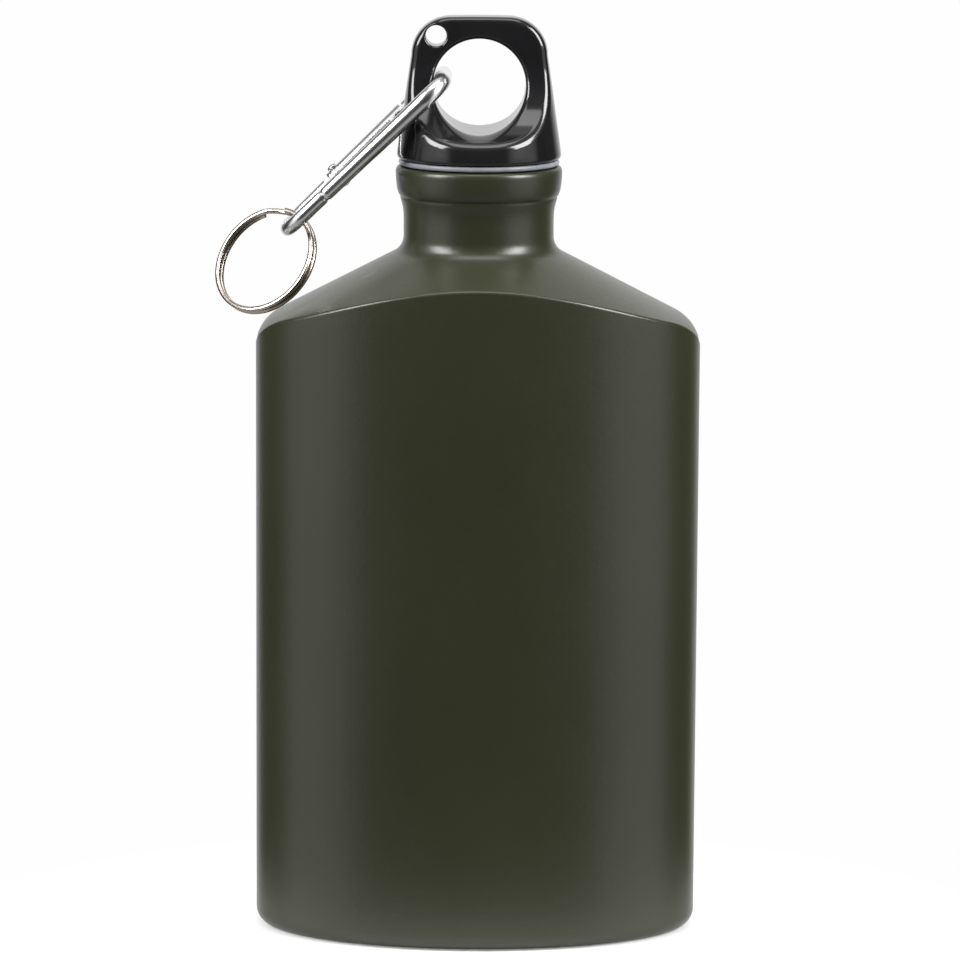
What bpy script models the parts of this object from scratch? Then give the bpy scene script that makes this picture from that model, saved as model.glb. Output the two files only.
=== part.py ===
"""Flattened metal drinking canteen with a screw-in loop cap, a small spring-gate carabiner and a split key ring.

Metres, +Z up, origin at the centre of the base.  X runs across the broad face, Y through the thickness.
Every separate physical piece is one object.
"""
import math

import bmesh
import bpy
from mathutils import Matrix, Vector

MM = 0.001
TAU = 2.0 * math.pi

# ---------------------------------------------------------------- driving dimensions (mm)
# bottle shell
BODY_A = 49.0            # half width of the oval wall
BODY_B = 28.7            # half thickness of the oval wall
WALL = 1.0               # wall thickness
SHOULDER_Z = 130.35      # where the side wall starts to roll over at the ends of the oval
SHOULDER_R = 8.5        # radius of that roll
SHOULDER_DEG = 27.6     # slope of the cone above it
BASE_FILLET = 3.5
BASE_RECESS = 0.8        # depth of the panel pressed into the base
BASE_RIM = 7.0           # width of the standing rim
BASE_FLOOR = 2.0         # inner floor height
NECK_R = 16.5           # outside of the neck
NECK_FILLET = 4.2        # concave fillet from neck to cone
COLLAR_R = 18.3         # outside of the rolled collar
COLLAR_LOW = 163.3       # lower edge of the collar
MOUTH_Z = 170.5         # top of the collar
BORE_R = 12.9            # crests of the internal thread
# thread
PITCH = 4.0
THREAD_DEPTH = 1.25
# gasket
GASKET_LOW = 170.75
GASKET_HIGH = 171.85
GASKET_R = 17.65
GASKET_BORE = 13.4
# cap
CAP_LOW = 172.1
CAP_BASE_R = 18.05
CAP_TOP = 203.3
CAP_CORNER_R = 8.5
CAP_CORNER_Z = 194.8
CAP_CORNER_X = 14.95
SCOOP_R = 18.0
SCOOP_Z = 194.0
PLATE_HALF = 4.0
LOOP_R = 10.15
LOOP_Z = 188.3
LANYARD_R = 2.3
LANYARD_X = -9.5
LANYARD_Z = 199.1
SOCKET_R = 9.0
SOCKET_TOP = 176.0
# threaded plug
PLUG_R = 12.45
PLUG_LOW = 160.7
PLUG_BORE = 9.8
BOSS_R = 8.7
# carabiner, in its own axes: s along its length, t across it, n through it
CARABINER_AT = (-8.0, 0.0, 189.6)
CARABINER_DEG = 44.3     # how far it hangs below the horizontal
CARABINER_LEN = 47.4
WIRE_TOP = 1.85
WIRE_LOW = 1.6
SPINE_T = -12.7
GATE_TIP = (12.0, 12.2)
GATE_PIVOT = (32.0, 8.2)
GATE_R = 2.1
GATE_TAIL = 2.2
RIVET_R = 0.65
LATCH_R = 0.5
LATCH_BACK = 1.6
SLOT_HALF = 1.0
TONGUE_HALF = 0.7
# split ring
RING_R = 12.05
RING_WIRE = 0.58
RING_STEP = 1.26
RING_TILT = 0.70        # cosine of the angle its plane leans

SEG = 56                 # segments round the bottle


# ---------------------------------------------------------------- helpers
def clear_scene():
    for obj in list(bpy.data.objects):
        bpy.data.objects.remove(obj, do_unlink=True)


def collection(name, hidden=False):
    col = bpy.data.collections.new(name)
    bpy.context.scene.collection.children.link(col)
    return col


def material(name, colour, roughness, metallic):
    mat = bpy.data.materials.new(name)
    mat.use_nodes = True
    shader = mat.node_tree.nodes["Principled BSDF"]
    shader.inputs["Base Color"].default_value = (*colour, 1.0)
    shader.inputs["Roughness"].default_value = roughness
    shader.inputs["Metallic"].default_value = metallic
    return mat


def put(obj, mat=None, parent=None):
    PARTS.objects.link(obj)
    if mat:
        obj.data.materials.append(mat)
    if parent:
        obj.parent = parent
    return obj


def cutter(obj):
    CUTTERS.objects.link(obj)
    obj.hide_render = True
    obj.display_type = "WIRE"
    return obj


def mesh_object(name, bm):
    bmesh.ops.recalc_face_normals(bm, faces=bm.faces[:])
    mesh = bpy.data.meshes.new(name)
    bm.to_mesh(mesh)
    bm.free()
    return bpy.data.objects.new(name, mesh)


def rings_to_solid(name, rings, closed=False):
    """Skins a list of equal rings of points, capping the ends unless the list closes on itself."""
    bm = bmesh.new()
    rows = [[bm.verts.new(Vector(p) * MM) for p in ring] for ring in rings]
    count = len(rows[0])
    pairs = list(zip(rows, rows[1:]))
    if closed:
        pairs.append((rows[-1], rows[0]))
    for low, high in pairs:
        for i in range(count):
            j = (i + 1) % count
            bm.faces.new((low[i], low[j], high[j], high[i]))
    if not closed:
        bm.faces.new(rows[0])
        bm.faces.new(rows[-1])
    return mesh_object(name, bm)


def turned(name, profile, steps=48):
    """A closed (r, z) profile turned about Z with a Screw modifier."""
    bm = bmesh.new()
    verts = [bm.verts.new((r * MM, 0.0, z * MM)) for r, z in profile]
    for a, b in zip(verts, verts[1:]):
        bm.edges.new((a, b))
    if profile[0][0] > 1e-6 or profile[-1][0] > 1e-6:
        bm.edges.new((verts[-1], verts[0]))
    mesh = bpy.data.meshes.new(name)
    bm.to_mesh(mesh)
    bm.free()
    obj = bpy.data.objects.new(name, mesh)
    mod = obj.modifiers.new("turn", "SCREW")
    mod.axis = "Z"
    mod.steps = mod.render_steps = steps
    mod.use_merge_vertices = True
    mod.merge_threshold = 0.00001
    mod.use_smooth_shade = True
    return obj


def extruded(name, outline, axis, low, high):
    """A flat outline of two coordinates pushed along an axis (0 = X, 1 = Y, 2 = Z)."""
    rings = []
    for depth in (low, high):
        ring = []
        for u, v in outline:
            p = [u, v]
            p.insert(axis, depth)
            ring.append(p)
        rings.append(ring)
    return rings_to_solid(name, rings)


def cylinder(name, radius, length, segments=24):
    """A cylinder about local Z, centred on its origin."""
    bm = bmesh.new()
    bmesh.ops.create_cone(
        bm, cap_ends=True, segments=segments, radius1=radius * MM, radius2=radius * MM, depth=length * MM
    )
    return mesh_object(name, bm)


def block(name, low, high):
    bm = bmesh.new()
    bmesh.ops.create_cube(bm, size=1.0)
    for v in bm.verts:
        for k in range(3):
            v.co[k] = (low[k] if v.co[k] < 0 else high[k]) * MM
    return mesh_object(name, bm)


def boolean(obj, tool, operation="DIFFERENCE"):
    mod = obj.modifiers.new(operation.lower(), "BOOLEAN")
    mod.operation = operation
    mod.object = tool
    mod.solver = "EXACT"
    return mod


def tube(name, points, depth, resolution=2, radii=None):
    """A POLY curve with a round bevel and filled caps, turned into a welded mesh."""
    curve = bpy.data.curves.new(name, "CURVE")
    curve.dimensions = "3D"
    curve.bevel_depth = depth * MM
    curve.bevel_resolution = resolution
    curve.use_fill_caps = True
    spline = curve.splines.new("POLY")
    spline.points.add(len(points) - 1)
    for i, p in enumerate(points):
        spline.points[i].co = (*(Vector(p) * MM), 1.0)
        spline.points[i].radius = radii[i] if radii else 1.0
    source = bpy.data.objects.new(name + "_path", curve)
    bpy.context.scene.collection.objects.link(source)
    graph = bpy.context.evaluated_depsgraph_get()
    mesh = bpy.data.meshes.new_from_object(source.evaluated_get(graph))
    bpy.data.objects.remove(source, do_unlink=True)
    bm = bmesh.new()
    bm.from_mesh(mesh)
    bpy.data.meshes.remove(mesh)
    bmesh.ops.remove_doubles(bm, verts=bm.verts[:], dist=0.000001)
    return mesh_object(name, bm)


def arc(cx, cz, radius, start, stop, count):
    return [
        (
            cx + radius * math.cos(math.radians(start + (stop - start) * i / count)),
            cz + radius * math.sin(math.radians(start + (stop - start) * i / count)),
        )
        for i in range(count + 1)
    ]


def helix(name, profile, low_z, turns, steps, right_hand=True):
    """A closed (r, z) profile swept up a helix of the thread's pitch."""
    rings = []
    total = int(round(turns * steps))
    for i in range(total + 1):
        angle = TAU * i / steps
        rise = PITCH * i / steps
        rings.append(
            [(r * math.cos(angle), r * math.sin(angle), low_z + z + rise) for r, z in profile]
        )
    return rings_to_solid(name, rings)


# ---------------------------------------------------------------- bottle
def oval(angle, a, b):
    return (a * math.cos(angle), b * math.sin(angle))


def roof(r, a, inset):
    """Height of the shoulder at radius r: a cone whose outer edge rolls over to vertical."""
    slope = math.radians(SHOULDER_DEG)
    radius = SHOULDER_R - inset
    centre = a - radius
    tangent = centre + radius * math.sin(slope)
    if r > tangent:
        return SHOULDER_Z + math.sqrt(max(radius * radius - (r - centre) ** 2, 0.0))
    return SHOULDER_Z + radius * math.cos(slope) + (tangent - r) * math.tan(slope)


def blended_ring(neck_r, t, a, b, inset):
    """A ring between the round neck (t = 0) and the oval wall (t = 1), lying on the shoulder."""
    ring = []
    for i in range(SEG):
        x, y = oval(TAU * i / SEG, a, b)
        reach = math.hypot(x, y)
        r = neck_r + t * (reach - neck_r)
        ring.append((x / reach * r, y / reach * r, roof(r, a, inset)))
    return ring


def round_ring(r, z, a, b):
    ring = []
    for i in range(SEG):
        x, y = oval(TAU * i / SEG, a, b)
        reach = math.hypot(x, y)
        ring.append((x / reach * r, y / reach * r, z))
    return ring


def oval_ring(inset, z):
    return [(*oval(TAU * i / SEG, BODY_A - inset, BODY_B - inset), z) for i in range(SEG)]


def build_bottle():
    a, b = BODY_A, BODY_B
    rings = []
    # outside, from the mouth down: collar, neck, neck fillet
    outside = [(14.6, MOUTH_Z), (16.6, MOUTH_Z), (17.6, MOUTH_Z - 0.55)]
    outside += [(COLLAR_R - 0.15, MOUTH_Z - 1.4), (COLLAR_R, MOUTH_Z - 2.6), (18.05, MOUTH_Z - 4.6)]
    outside += [(17.55, COLLAR_LOW + 0.6), (17.3, COLLAR_LOW + 0.1), (16.95, COLLAR_LOW - 0.1)]
    outside += [(NECK_R + 0.12, COLLAR_LOW - 2.6), (NECK_R, COLLAR_LOW - 4.2)]
    slope = math.radians(SHOULDER_DEG)
    # fillet circle touching the neck cylinder and the cone
    centre_r = NECK_R + NECK_FILLET
    cone_at = roof(centre_r, a, 0.0)
    centre_z = cone_at + NECK_FILLET / math.cos(slope)
    for k in range(5):
        turn = math.pi + (math.pi / 2 - slope) * k / 4
        outside.append((centre_r + NECK_FILLET * math.cos(turn), centre_z + NECK_FILLET * math.sin(turn)))
    for r, z in outside:
        rings.append(round_ring(r, z, a, b))
    start_r = outside[-1][0]
    for t in (0.3, 0.62, 0.84, 0.93, 0.975, 1.0):
        rings.append(blended_ring(start_r, t, a, b, 0.0))
    for k in range(4):
        turn = math.pi / 2 * k / 3
        inset = BASE_FILLET * (1 - math.cos(turn))
        rings.append(oval_ring(inset, BASE_FILLET * (1 - math.sin(turn))))
    rings.append(oval_ring(BASE_RIM, 0.0))
    rings.append(oval_ring(BASE_RIM + 1.4, BASE_RECESS))
    base = rings[-1]
    outer = rings
    # inside, from the floor up
    inner = [oval_ring(WALL + BASE_FILLET, BASE_FLOOR), oval_ring(WALL, BASE_FLOOR + BASE_FILLET)]
    ia, ib = a - WALL, b - WALL
    bore_start = BORE_R + 1.6
    inside_up = [
        blended_ring(bore_start, t, ia, ib, WALL) for t in (1.0, 0.97, 0.9, 0.6, 0.3, 0.0)
    ]
    drop = WALL / math.cos(slope) - (WALL * math.cos(slope) + WALL * math.sin(slope) * math.tan(slope))
    inner += [[(x, y, z - max(drop, 0.0)) for x, y, z in ring] for ring in inside_up]
    lip = inner[-1][0][2]
    inner.append(round_ring(BORE_R, lip + 2.2, a, b))
    inner.append(round_ring(BORE_R, MOUTH_Z - 0.9, a, b))
    inner.append(round_ring(BORE_R + 0.9, MOUTH_Z, a, b))
    # one closed skin: base panel, outside, mouth, inside, inner floor
    bm = bmesh.new()
    order = list(reversed(outer)) + list(reversed(inner))
    rows = [[bm.verts.new(Vector(p) * MM) for p in ring] for ring in order]
    for low, high in zip(rows, rows[1:]):
        for i in range(SEG):
            j = (i + 1) % SEG
            bm.faces.new((low[i], low[j], high[j], high[i]))
    for end in (rows[0], rows[-1]):
        bm.faces.new(end)
    body = put(mesh_object("bottle_body", bm), OLIVE)
    # internal thread: a helical groove that runs out through the mouth
    half = THREAD_DEPTH
    groove = [
        (BORE_R - 1.2, -1.55),
        (BORE_R + 0.05, -1.35),
        (BORE_R + half, -0.75),
        (BORE_R + half, 0.75),
        (BORE_R + 0.05, 1.35),
        (BORE_R - 1.2, 1.55),
    ]
    tool = cutter(helix("neck_thread_tool", groove, 158.4, 3.75, 36))
    boolean(body, tool)
    return body


# ---------------------------------------------------------------- cap
def build_cap(pivot):
    profile = [(0.0, CAP_TOP)]
    crown = [
        (x, z)
        for x, z in arc(CAP_CORNER_X - CAP_CORNER_R, CAP_CORNER_Z, CAP_CORNER_R, 88, 0, 6)
    ]
    profile += crown
    profile += [(16.85, 181.7), (CAP_BASE_R, CAP_LOW + 1.3), (CAP_BASE_R - 0.15, CAP_LOW + 0.5)]
    profile += [(CAP_BASE_R - 0.6, CAP_LOW), (SOCKET_R, CAP_LOW), (SOCKET_R, SOCKET_TOP), (0.0, SOCKET_TOP)]
    cap = put(turned("cap_shell", profile, 56), BLACK, pivot)
    # front and back scoops leave an upright plate that flares into the round skirt
    for side, sign in (("front", -1.0), ("back", 1.0)):
        centre = PLATE_HALF + SCOOP_R
        # arc from the plate down and out to below the skirt's rim
        pts = [
            (sign * (centre - SCOOP_R * math.cos(math.radians(d))), SCOOP_Z - SCOOP_R * math.sin(math.radians(d)))
            for d in [0, 7, 14, 21, 28, 35, 42, 49, 56, 63, 70, 80, 90]
        ]
        pts += [(sign * centre, 215.0), (sign * PLATE_HALF, 215.0)]
        boolean(cap, cutter(extruded("scoop_" + side, pts, 0, -30.0, 30.0)))
    hole = cutter(cylinder("loop_hole", LOOP_R, 60.0, 48))
    hole.rotation_euler = (math.pi / 2, 0.0, 0.0)
    hole.location = (0.0, 0.0, LOOP_Z * MM)
    boolean(cap, hole)
    small = cutter(cylinder("lanyard_hole", LANYARD_R, 60.0, 24))
    small.rotation_euler = (math.pi / 2, 0.0, 0.0)
    small.location = (LANYARD_X * MM, 0.0, LANYARD_Z * MM)
    boolean(cap, small)

    # screw plug: boss into the shell, flange bore through the gasket, threaded hollow stem
    stem = [
        (0.0, SOCKET_TOP - 0.3),
        (BOSS_R, SOCKET_TOP - 0.3),
        (BOSS_R, CAP_LOW - 0.25),
        (PLUG_R, CAP_LOW - 0.25),
        (PLUG_R, PLUG_LOW + 0.8),
        (PLUG_R - 0.8, PLUG_LOW),
        (PLUG_BORE, PLUG_LOW),
        (PLUG_BORE, CAP_LOW - 2.6),
        (0.0, CAP_LOW - 1.4),
    ]
    plug = put(turned("cap_plug", stem, 48), BLACK_STEM, pivot)
    ridge = [
        (PLUG_R - 0.8, -1.15),
        (PLUG_R + 0.1, -0.95),
        (PLUG_R + 1.3, -0.35),
        (PLUG_R + 1.3, 0.35),
        (PLUG_R + 0.1, 0.95),
        (PLUG_R - 0.8, 1.15),
    ]
    thread = cutter(helix("plug_thread", ridge, 162.4, 1.5, 36))
    boolean(plug, thread, "UNION")
    return cap, plug


def build_gasket(pivot):
    mid = (GASKET_LOW + GASKET_HIGH) / 2
    half = (GASKET_HIGH - GASKET_LOW) / 2
    bulge = GASKET_R - half
    profile = [
        (GASKET_BORE, GASKET_HIGH),
        (bulge + 0.1, GASKET_HIGH),
        (GASKET_R - 0.12, mid + 0.28),
        (GASKET_R, mid),
        (GASKET_R - 0.12, mid - 0.28),
        (bulge + 0.1, GASKET_LOW),
        (GASKET_BORE, GASKET_LOW),
    ]
    return put(turned("cap_gasket", profile, 48), GREY, pivot)


# ---------------------------------------------------------------- carabiner
def rounded_path(corners, radii, step_deg=15.0):
    """Straight runs joined by arcs: corners are (s, t) points, radii one per inner corner."""
    path = [corners[0]]
    for i in range(1, len(corners) - 1):
        p0, p1, p2 = (Vector(corners[k]) for k in (i - 1, i, i + 1))
        d0, d1 = (p0 - p1).normalized(), (p2 - p1).normalized()
        half = math.acos(max(-1.0, min(1.0, d0.dot(d1)))) / 2
        radius = radii[i - 1]
        reach = radius / math.tan(half)
        centre = p1 + (d0 + d1).normalized() * (radius / math.sin(half))
        a0 = p1 + d0 * reach - centre
        a1 = p1 + d1 * reach - centre
        start = math.atan2(a0.y, a0.x)
        sweep = math.atan2(a1.y, a1.x) - start
        while sweep > math.pi:
            sweep -= TAU
        while sweep < -math.pi:
            sweep += TAU
        count = max(2, int(round(abs(math.degrees(sweep)) / step_deg)))
        for k in range(count + 1):
            angle = start + sweep * k / count
            path.append((centre.x + radius * math.cos(angle), centre.y + radius * math.sin(angle)))
    path.append(corners[-1])
    return path


def gate_axis(distance):
    """A point on the gate's centre line, measured from the rivet towards the tip."""
    d = (Vector(GATE_TIP) - Vector(GATE_PIVOT)).normalized()
    p = Vector(GATE_PIVOT) + d * distance
    return (p.x, p.y)


def build_carabiner(pivot):
    gate_len = (Vector(GATE_TIP) - Vector(GATE_PIVOT)).length
    # wire: nose tongue, top bend, spine, bottom bend, hinge tang
    nose = gate_axis(gate_len - 3.0)
    top_right = gate_axis(gate_len + 12.6)
    end = gate_axis(1.5)
    corners = [
        nose,
        (0.0, top_right[1]),
        (0.0, SPINE_T + 0.2),
        (CARABINER_LEN, -6.6),
        (CARABINER_LEN, 5.2),
        end,
    ]
    path = rounded_path(corners, [5.4, 5.4, 5.6, 5.0], 15.0)
    radii = [
        (WIRE_TOP + (WIRE_LOW - WIRE_TOP) * min(max((s - 8.0) / 30.0, 0.0), 1.0)) / WIRE_TOP for s, _ in path
    ]
    body = tube("carabiner_body", [(s, t, 0.0) for s, t in path], WIRE_TOP, 3, radii)
    put(body, ALLOY, pivot)

    # the two ends are thinned to tongues that lie in the gate's slots
    direction = (Vector(GATE_TIP) - Vector(GATE_PIVOT)).normalized()
    angle = math.atan2(direction.y, direction.x)

    def in_gate(tool, distance):
        """Places a cutter made about the gate's own axis (+X towards the tip)."""
        s, t = gate_axis(distance)
        tool.parent = pivot
        tool.location = (s * MM, t * MM, 0.0)
        tool.rotation_euler = (0.0, 0.0, angle)
        return tool

    for name, sign in (("a", 1.0), ("b", -1.0)):
        lo, hi = sorted((sign * TONGUE_HALF, sign * 4.0))
        nose_flat = cutter(block("nose_flat_" + name, (-3.6, -4.0, lo), (0.45, 4.0, hi)))
        in_gate(nose_flat, gate_len)
        boolean(body, nose_flat)
        tang_flat = cutter(block("tang_flat_" + name, (-3.5, -3.0, lo), (3.5, 3.0, hi)))
        in_gate(tang_flat, 0.0)
        boolean(body, tang_flat)
    notch = cutter(block("nose_notch", (-0.8, -1.0, -3.0), (0.8, 4.0, 3.0)))
    in_gate(notch, gate_len - LATCH_BACK)
    boolean(body, notch)
    eye = cutter(cylinder("tang_eye", RIVET_R + 0.12, 6.0, 20))
    eye.parent = pivot
    eye.location = (GATE_PIVOT[0] * MM, GATE_PIVOT[1] * MM, 0.0)
    boolean(body, eye)

    # gate: a tube slotted at both ends, hinged at the rivet
    hinge = bpy.data.objects.new("gate_pivot", None)
    PARTS.objects.link(hinge)
    hinge.parent = pivot
    hinge.location = (GATE_PIVOT[0] * MM, GATE_PIVOT[1] * MM, 0.0)
    hinge.rotation_euler = (0.0, 0.0, angle)

    def along_gate(obj, distance):
        obj.parent = hinge
        obj.location = (distance * MM, 0.0, 0.0)
        obj.rotation_euler = (0.0, math.pi / 2, 0.0)
        return obj

    total = gate_len + GATE_TAIL
    gate = put(cylinder("carabiner_gate", GATE_R, total, 24), ALLOY)
    along_gate(gate, (gate_len - GATE_TAIL) / 2)
    bore = cutter(cylinder("gate_bore", 1.3, 14.0, 16))
    along_gate(bore, 7.0 + 1.0)
    boolean(gate, bore)
    for name, low, high in (("tail", -4.0, 2.6), ("tip", gate_len - 4.0, gate_len + 2.0)):
        slot = cutter(block("gate_slot_" + name, (low, -4.0, -SLOT_HALF), (high, 4.0, SLOT_HALF)))
        slot.parent = hinge
        boolean(gate, slot)
    for name, distance, radius in (("rivet", 0.0, RIVET_R + 0.12), ("latch", gate_len - LATCH_BACK, LATCH_R + 0.12)):
        hole = cutter(cylinder("gate_hole_" + name, radius, 8.0, 20))
        hole.parent = hinge
        hole.location = (distance * MM, 0.0, 0.0)
        boolean(gate, hole)

    # hinge rivet with a domed head on each side
    reach = GATE_R + 0.15
    rivet_profile = [
        (0.0, reach + 0.7),
        (0.6, reach + 0.6),
        (1.05, reach + 0.25),
        (1.1, reach),
        (RIVET_R, reach),
        (RIVET_R, -reach),
        (1.1, -reach),
        (1.05, -reach - 0.25),
        (0.6, -reach - 0.6),
        (0.0, -reach - 0.7),
    ]
    rivet = put(turned("gate_hinge_pin", rivet_profile, 20), STEEL)
    rivet.parent = hinge
    latch = put(cylinder("gate_latch_pin", LATCH_R, 2 * GATE_R - 0.5, 16), STEEL)
    latch.parent = hinge
    latch.location = ((gate_len - LATCH_BACK) * MM, 0.0, 0.0)

    # plunger and coil spring inside the gate's bore
    plunger = put(cylinder("spring_plunger", 1.0, 3.0, 16), STEEL)
    along_gate(plunger, 1.85 + 1.5)
    coil = []
    turns, steps = 7, 10
    for i in range(turns * steps + 1):
        a = TAU * i / steps
        coil.append((0.82 * math.cos(a), 0.82 * math.sin(a), 8.8 * i / (turns * steps)))
    spring = put(tube("gate_spring", coil, 0.2, 1), STEEL)
    along_gate(spring, 5.4)
    return body


# ---------------------------------------------------------------- split ring
def build_ring(along, across, normal, centre):
    """Two flat turns of wire joined by one short step; the free ends stop either side of it."""
    first, step_deg = -30.0, 30.0
    points = []
    sweep = 720.0 - step_deg
    count = 62
    for i in range(count + 1):
        travelled = sweep * i / count
        f = min(max((travelled - (360.0 - step_deg)) / step_deg, 0.0), 1.0)
        lift = RING_STEP * (f * f * (3 - 2 * f) - 0.5)
        angle = math.radians(first + travelled)
        p = centre + along * (RING_R * math.cos(angle)) + across * (RING_R * math.sin(angle)) + normal * lift
        points.append(tuple(p))
    return points


# ---------------------------------------------------------------- assembly
clear_scene()
PARTS = collection("canteen")
CUTTERS = collection("canteen_cutters")
OLIVE = material("olive_powder_coat", (0.045, 0.050, 0.028), 0.42, 0.0)
BLACK = material("black_polypropylene", (0.006, 0.006, 0.007), 0.12, 0.0)
BLACK_STEM = material("black_polypropylene_stem", (0.010, 0.010, 0.011), 0.3, 0.0)
GREY = material("grey_silicone", (0.20, 0.21, 0.23), 0.35, 0.0)
ALLOY = material("bare_aluminium", (0.80, 0.80, 0.81), 0.2, 1.0)
STEEL = material("nickelled_steel", (0.60, 0.57, 0.54), 0.22, 1.0)

build_bottle()

cap_pivot = bpy.data.objects.new("cap_pivot", None)
PARTS.objects.link(cap_pivot)
build_gasket(cap_pivot)
build_cap(cap_pivot)

tilt = math.radians(CARABINER_DEG)
along_s = Vector((-math.cos(tilt), 0.0, -math.sin(tilt)))
across_t = Vector((0.0, 1.0, 0.0))
through_n = along_s.cross(across_t)
frame = Matrix((along_s, across_t, through_n)).transposed().to_4x4()
frame.translation = Vector(CARABINER_AT) * MM
carabiner_pivot = bpy.data.objects.new("carabiner_pivot", None)
PARTS.objects.link(carabiner_pivot)
carabiner_pivot.matrix_world = frame
carabiner_pivot.parent = cap_pivot
build_carabiner(carabiner_pivot)

# the split ring hangs in the carabiner's lower bend
bend = Vector(CARABINER_AT) + along_s * CARABINER_LEN
ring_m = -along_s
ring_q = (through_n * RING_TILT - across_t * math.sqrt(1 - RING_TILT**2)).normalized()
ring_centre = bend - ring_m * 8.4 + ring_q * 2.5
ring_points = build_ring(ring_m, ring_q, ring_m.cross(ring_q), ring_centre)
put(tube("split_ring", ring_points, RING_WIRE, 2), STEEL)
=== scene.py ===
import math

import bmesh
import bpy
import numpy as np
from mathutils import Matrix, Vector


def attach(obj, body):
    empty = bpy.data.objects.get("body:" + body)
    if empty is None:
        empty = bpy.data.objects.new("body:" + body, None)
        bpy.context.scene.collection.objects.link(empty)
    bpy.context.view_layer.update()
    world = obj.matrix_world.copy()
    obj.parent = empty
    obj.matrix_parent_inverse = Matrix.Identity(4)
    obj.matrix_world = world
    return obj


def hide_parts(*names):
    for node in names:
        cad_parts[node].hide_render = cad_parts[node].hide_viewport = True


MM = 0.001
TAU = 2 * math.pi

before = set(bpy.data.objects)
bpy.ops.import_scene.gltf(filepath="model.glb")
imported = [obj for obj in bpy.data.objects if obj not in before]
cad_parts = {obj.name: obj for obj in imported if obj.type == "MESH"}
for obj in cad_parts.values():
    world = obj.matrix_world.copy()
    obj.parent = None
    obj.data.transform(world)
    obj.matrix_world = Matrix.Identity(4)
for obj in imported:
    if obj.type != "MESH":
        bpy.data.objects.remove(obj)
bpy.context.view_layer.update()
scene = bpy.context.scene


# ------------------------------------------------------------------ mesh helpers
def mesh_from(name, verts, faces, mats, smooth=True, sharp=None, normals=None):
    """A mesh object from points in millimetres."""
    mesh = bpy.data.meshes.new(name)
    mesh.from_pydata((np.asarray(verts, float) * MM).tolist(), [], [list(map(int, f)) for f in faces])
    mesh.validate()
    obj = bpy.data.objects.new(name, mesh)
    scene.collection.objects.link(obj)
    mesh.materials.append(mats)
    if smooth:
        mesh.shade_smooth()
        if sharp is not None:
            mesh.set_sharp_from_angle(angle=math.radians(sharp))
    if normals is not None:
        mesh.normals_split_custom_set_from_vertices(np.asarray(normals, float).tolist())
    return obj


def grid_faces(rows, cols, wrap_rows=False):
    """Quads of a grid whose columns close on themselves."""
    faces = []
    last = rows if wrap_rows else rows - 1
    for r in range(last):
        q = (r + 1) % rows
        for c in range(cols):
            d = (c + 1) % cols
            faces.append((r * cols + c, r * cols + d, q * cols + d, q * cols + c))
    return faces


def outward(obj):
    bm = bmesh.new()
    bm.from_mesh(obj.data)
    bmesh.ops.recalc_face_normals(bm, faces=bm.faces[:])
    bm.to_mesh(obj.data)
    bm.free()
    return obj


def lathe(name, profile, mats, steps=160, closed=False, sharp=32):
    """Turns an (r, z) profile about Z; ends on the axis are closed with a fan."""
    verts, faces = [], []
    ring_start = []
    for r, z in profile:
        if r < 1e-6:
            ring_start.append((len(verts), 1))
            verts.append((0.0, 0.0, z))
        else:
            ring_start.append((len(verts), steps))
            for i in range(steps):
                a = TAU * i / steps
                verts.append((r * math.cos(a), r * math.sin(a), z))
    pairs = list(zip(ring_start, ring_start[1:]))
    if closed:
        pairs.append((ring_start[-1], ring_start[0]))
    for (s0, n0), (s1, n1) in pairs:
        for i in range(steps):
            j = (i + 1) % steps
            if n0 == 1 and n1 == 1:
                continue
            if n0 == 1:
                faces.append((s0, s1 + j, s1 + i))
            elif n1 == 1:
                faces.append((s0 + i, s0 + j, s1))
            else:
                faces.append((s0 + i, s0 + j, s1 + j, s1 + i))
    obj = mesh_from(name, verts, faces, mats, sharp=sharp)
    return outward(obj)


def arc(cx, cz, radius, start, stop, count):
    return [
        (
            cx + radius * math.cos(math.radians(start + (stop - start) * i / count)),
            cz + radius * math.sin(math.radians(start + (stop - start) * i / count)),
        )
        for i in range(count + 1)
    ]


def rounded(points, radii, step=12.0):
    """Rounds the corners of an open polyline; radii is one number per inner corner."""
    out = [tuple(points[0])]
    for i in range(1, len(points) - 1):
        p0, p1, p2 = (Vector(points[k]) for k in (i - 1, i, i + 1))
        radius = radii[i - 1]
        if radius <= 0:
            out.append(tuple(p1))
            continue
        d0, d1 = (p0 - p1).normalized(), (p2 - p1).normalized()
        half = math.acos(max(-1.0, min(1.0, d0.dot(d1)))) / 2
        reach = min(radius / math.tan(half), 0.49 * min((p0 - p1).length, (p2 - p1).length))
        radius = reach * math.tan(half)
        centre = p1 + (d0 + d1).normalized() * (radius / math.sin(half))
        a0, a1 = p1 + d0 * reach - centre, p1 + d1 * reach - centre
        start = math.atan2(a0.y, a0.x)
        sweep = math.atan2(a1.y, a1.x) - start
        while sweep > math.pi:
            sweep -= TAU
        while sweep < -math.pi:
            sweep += TAU
        count = max(2, int(math.ceil(abs(math.degrees(sweep)) / step)))
        for k in range(count + 1):
            angle = start + sweep * k / count
            out.append((centre.x + radius * math.cos(angle), centre.y + radius * math.sin(angle)))
    out.append(tuple(points[-1]))
    return out


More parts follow.
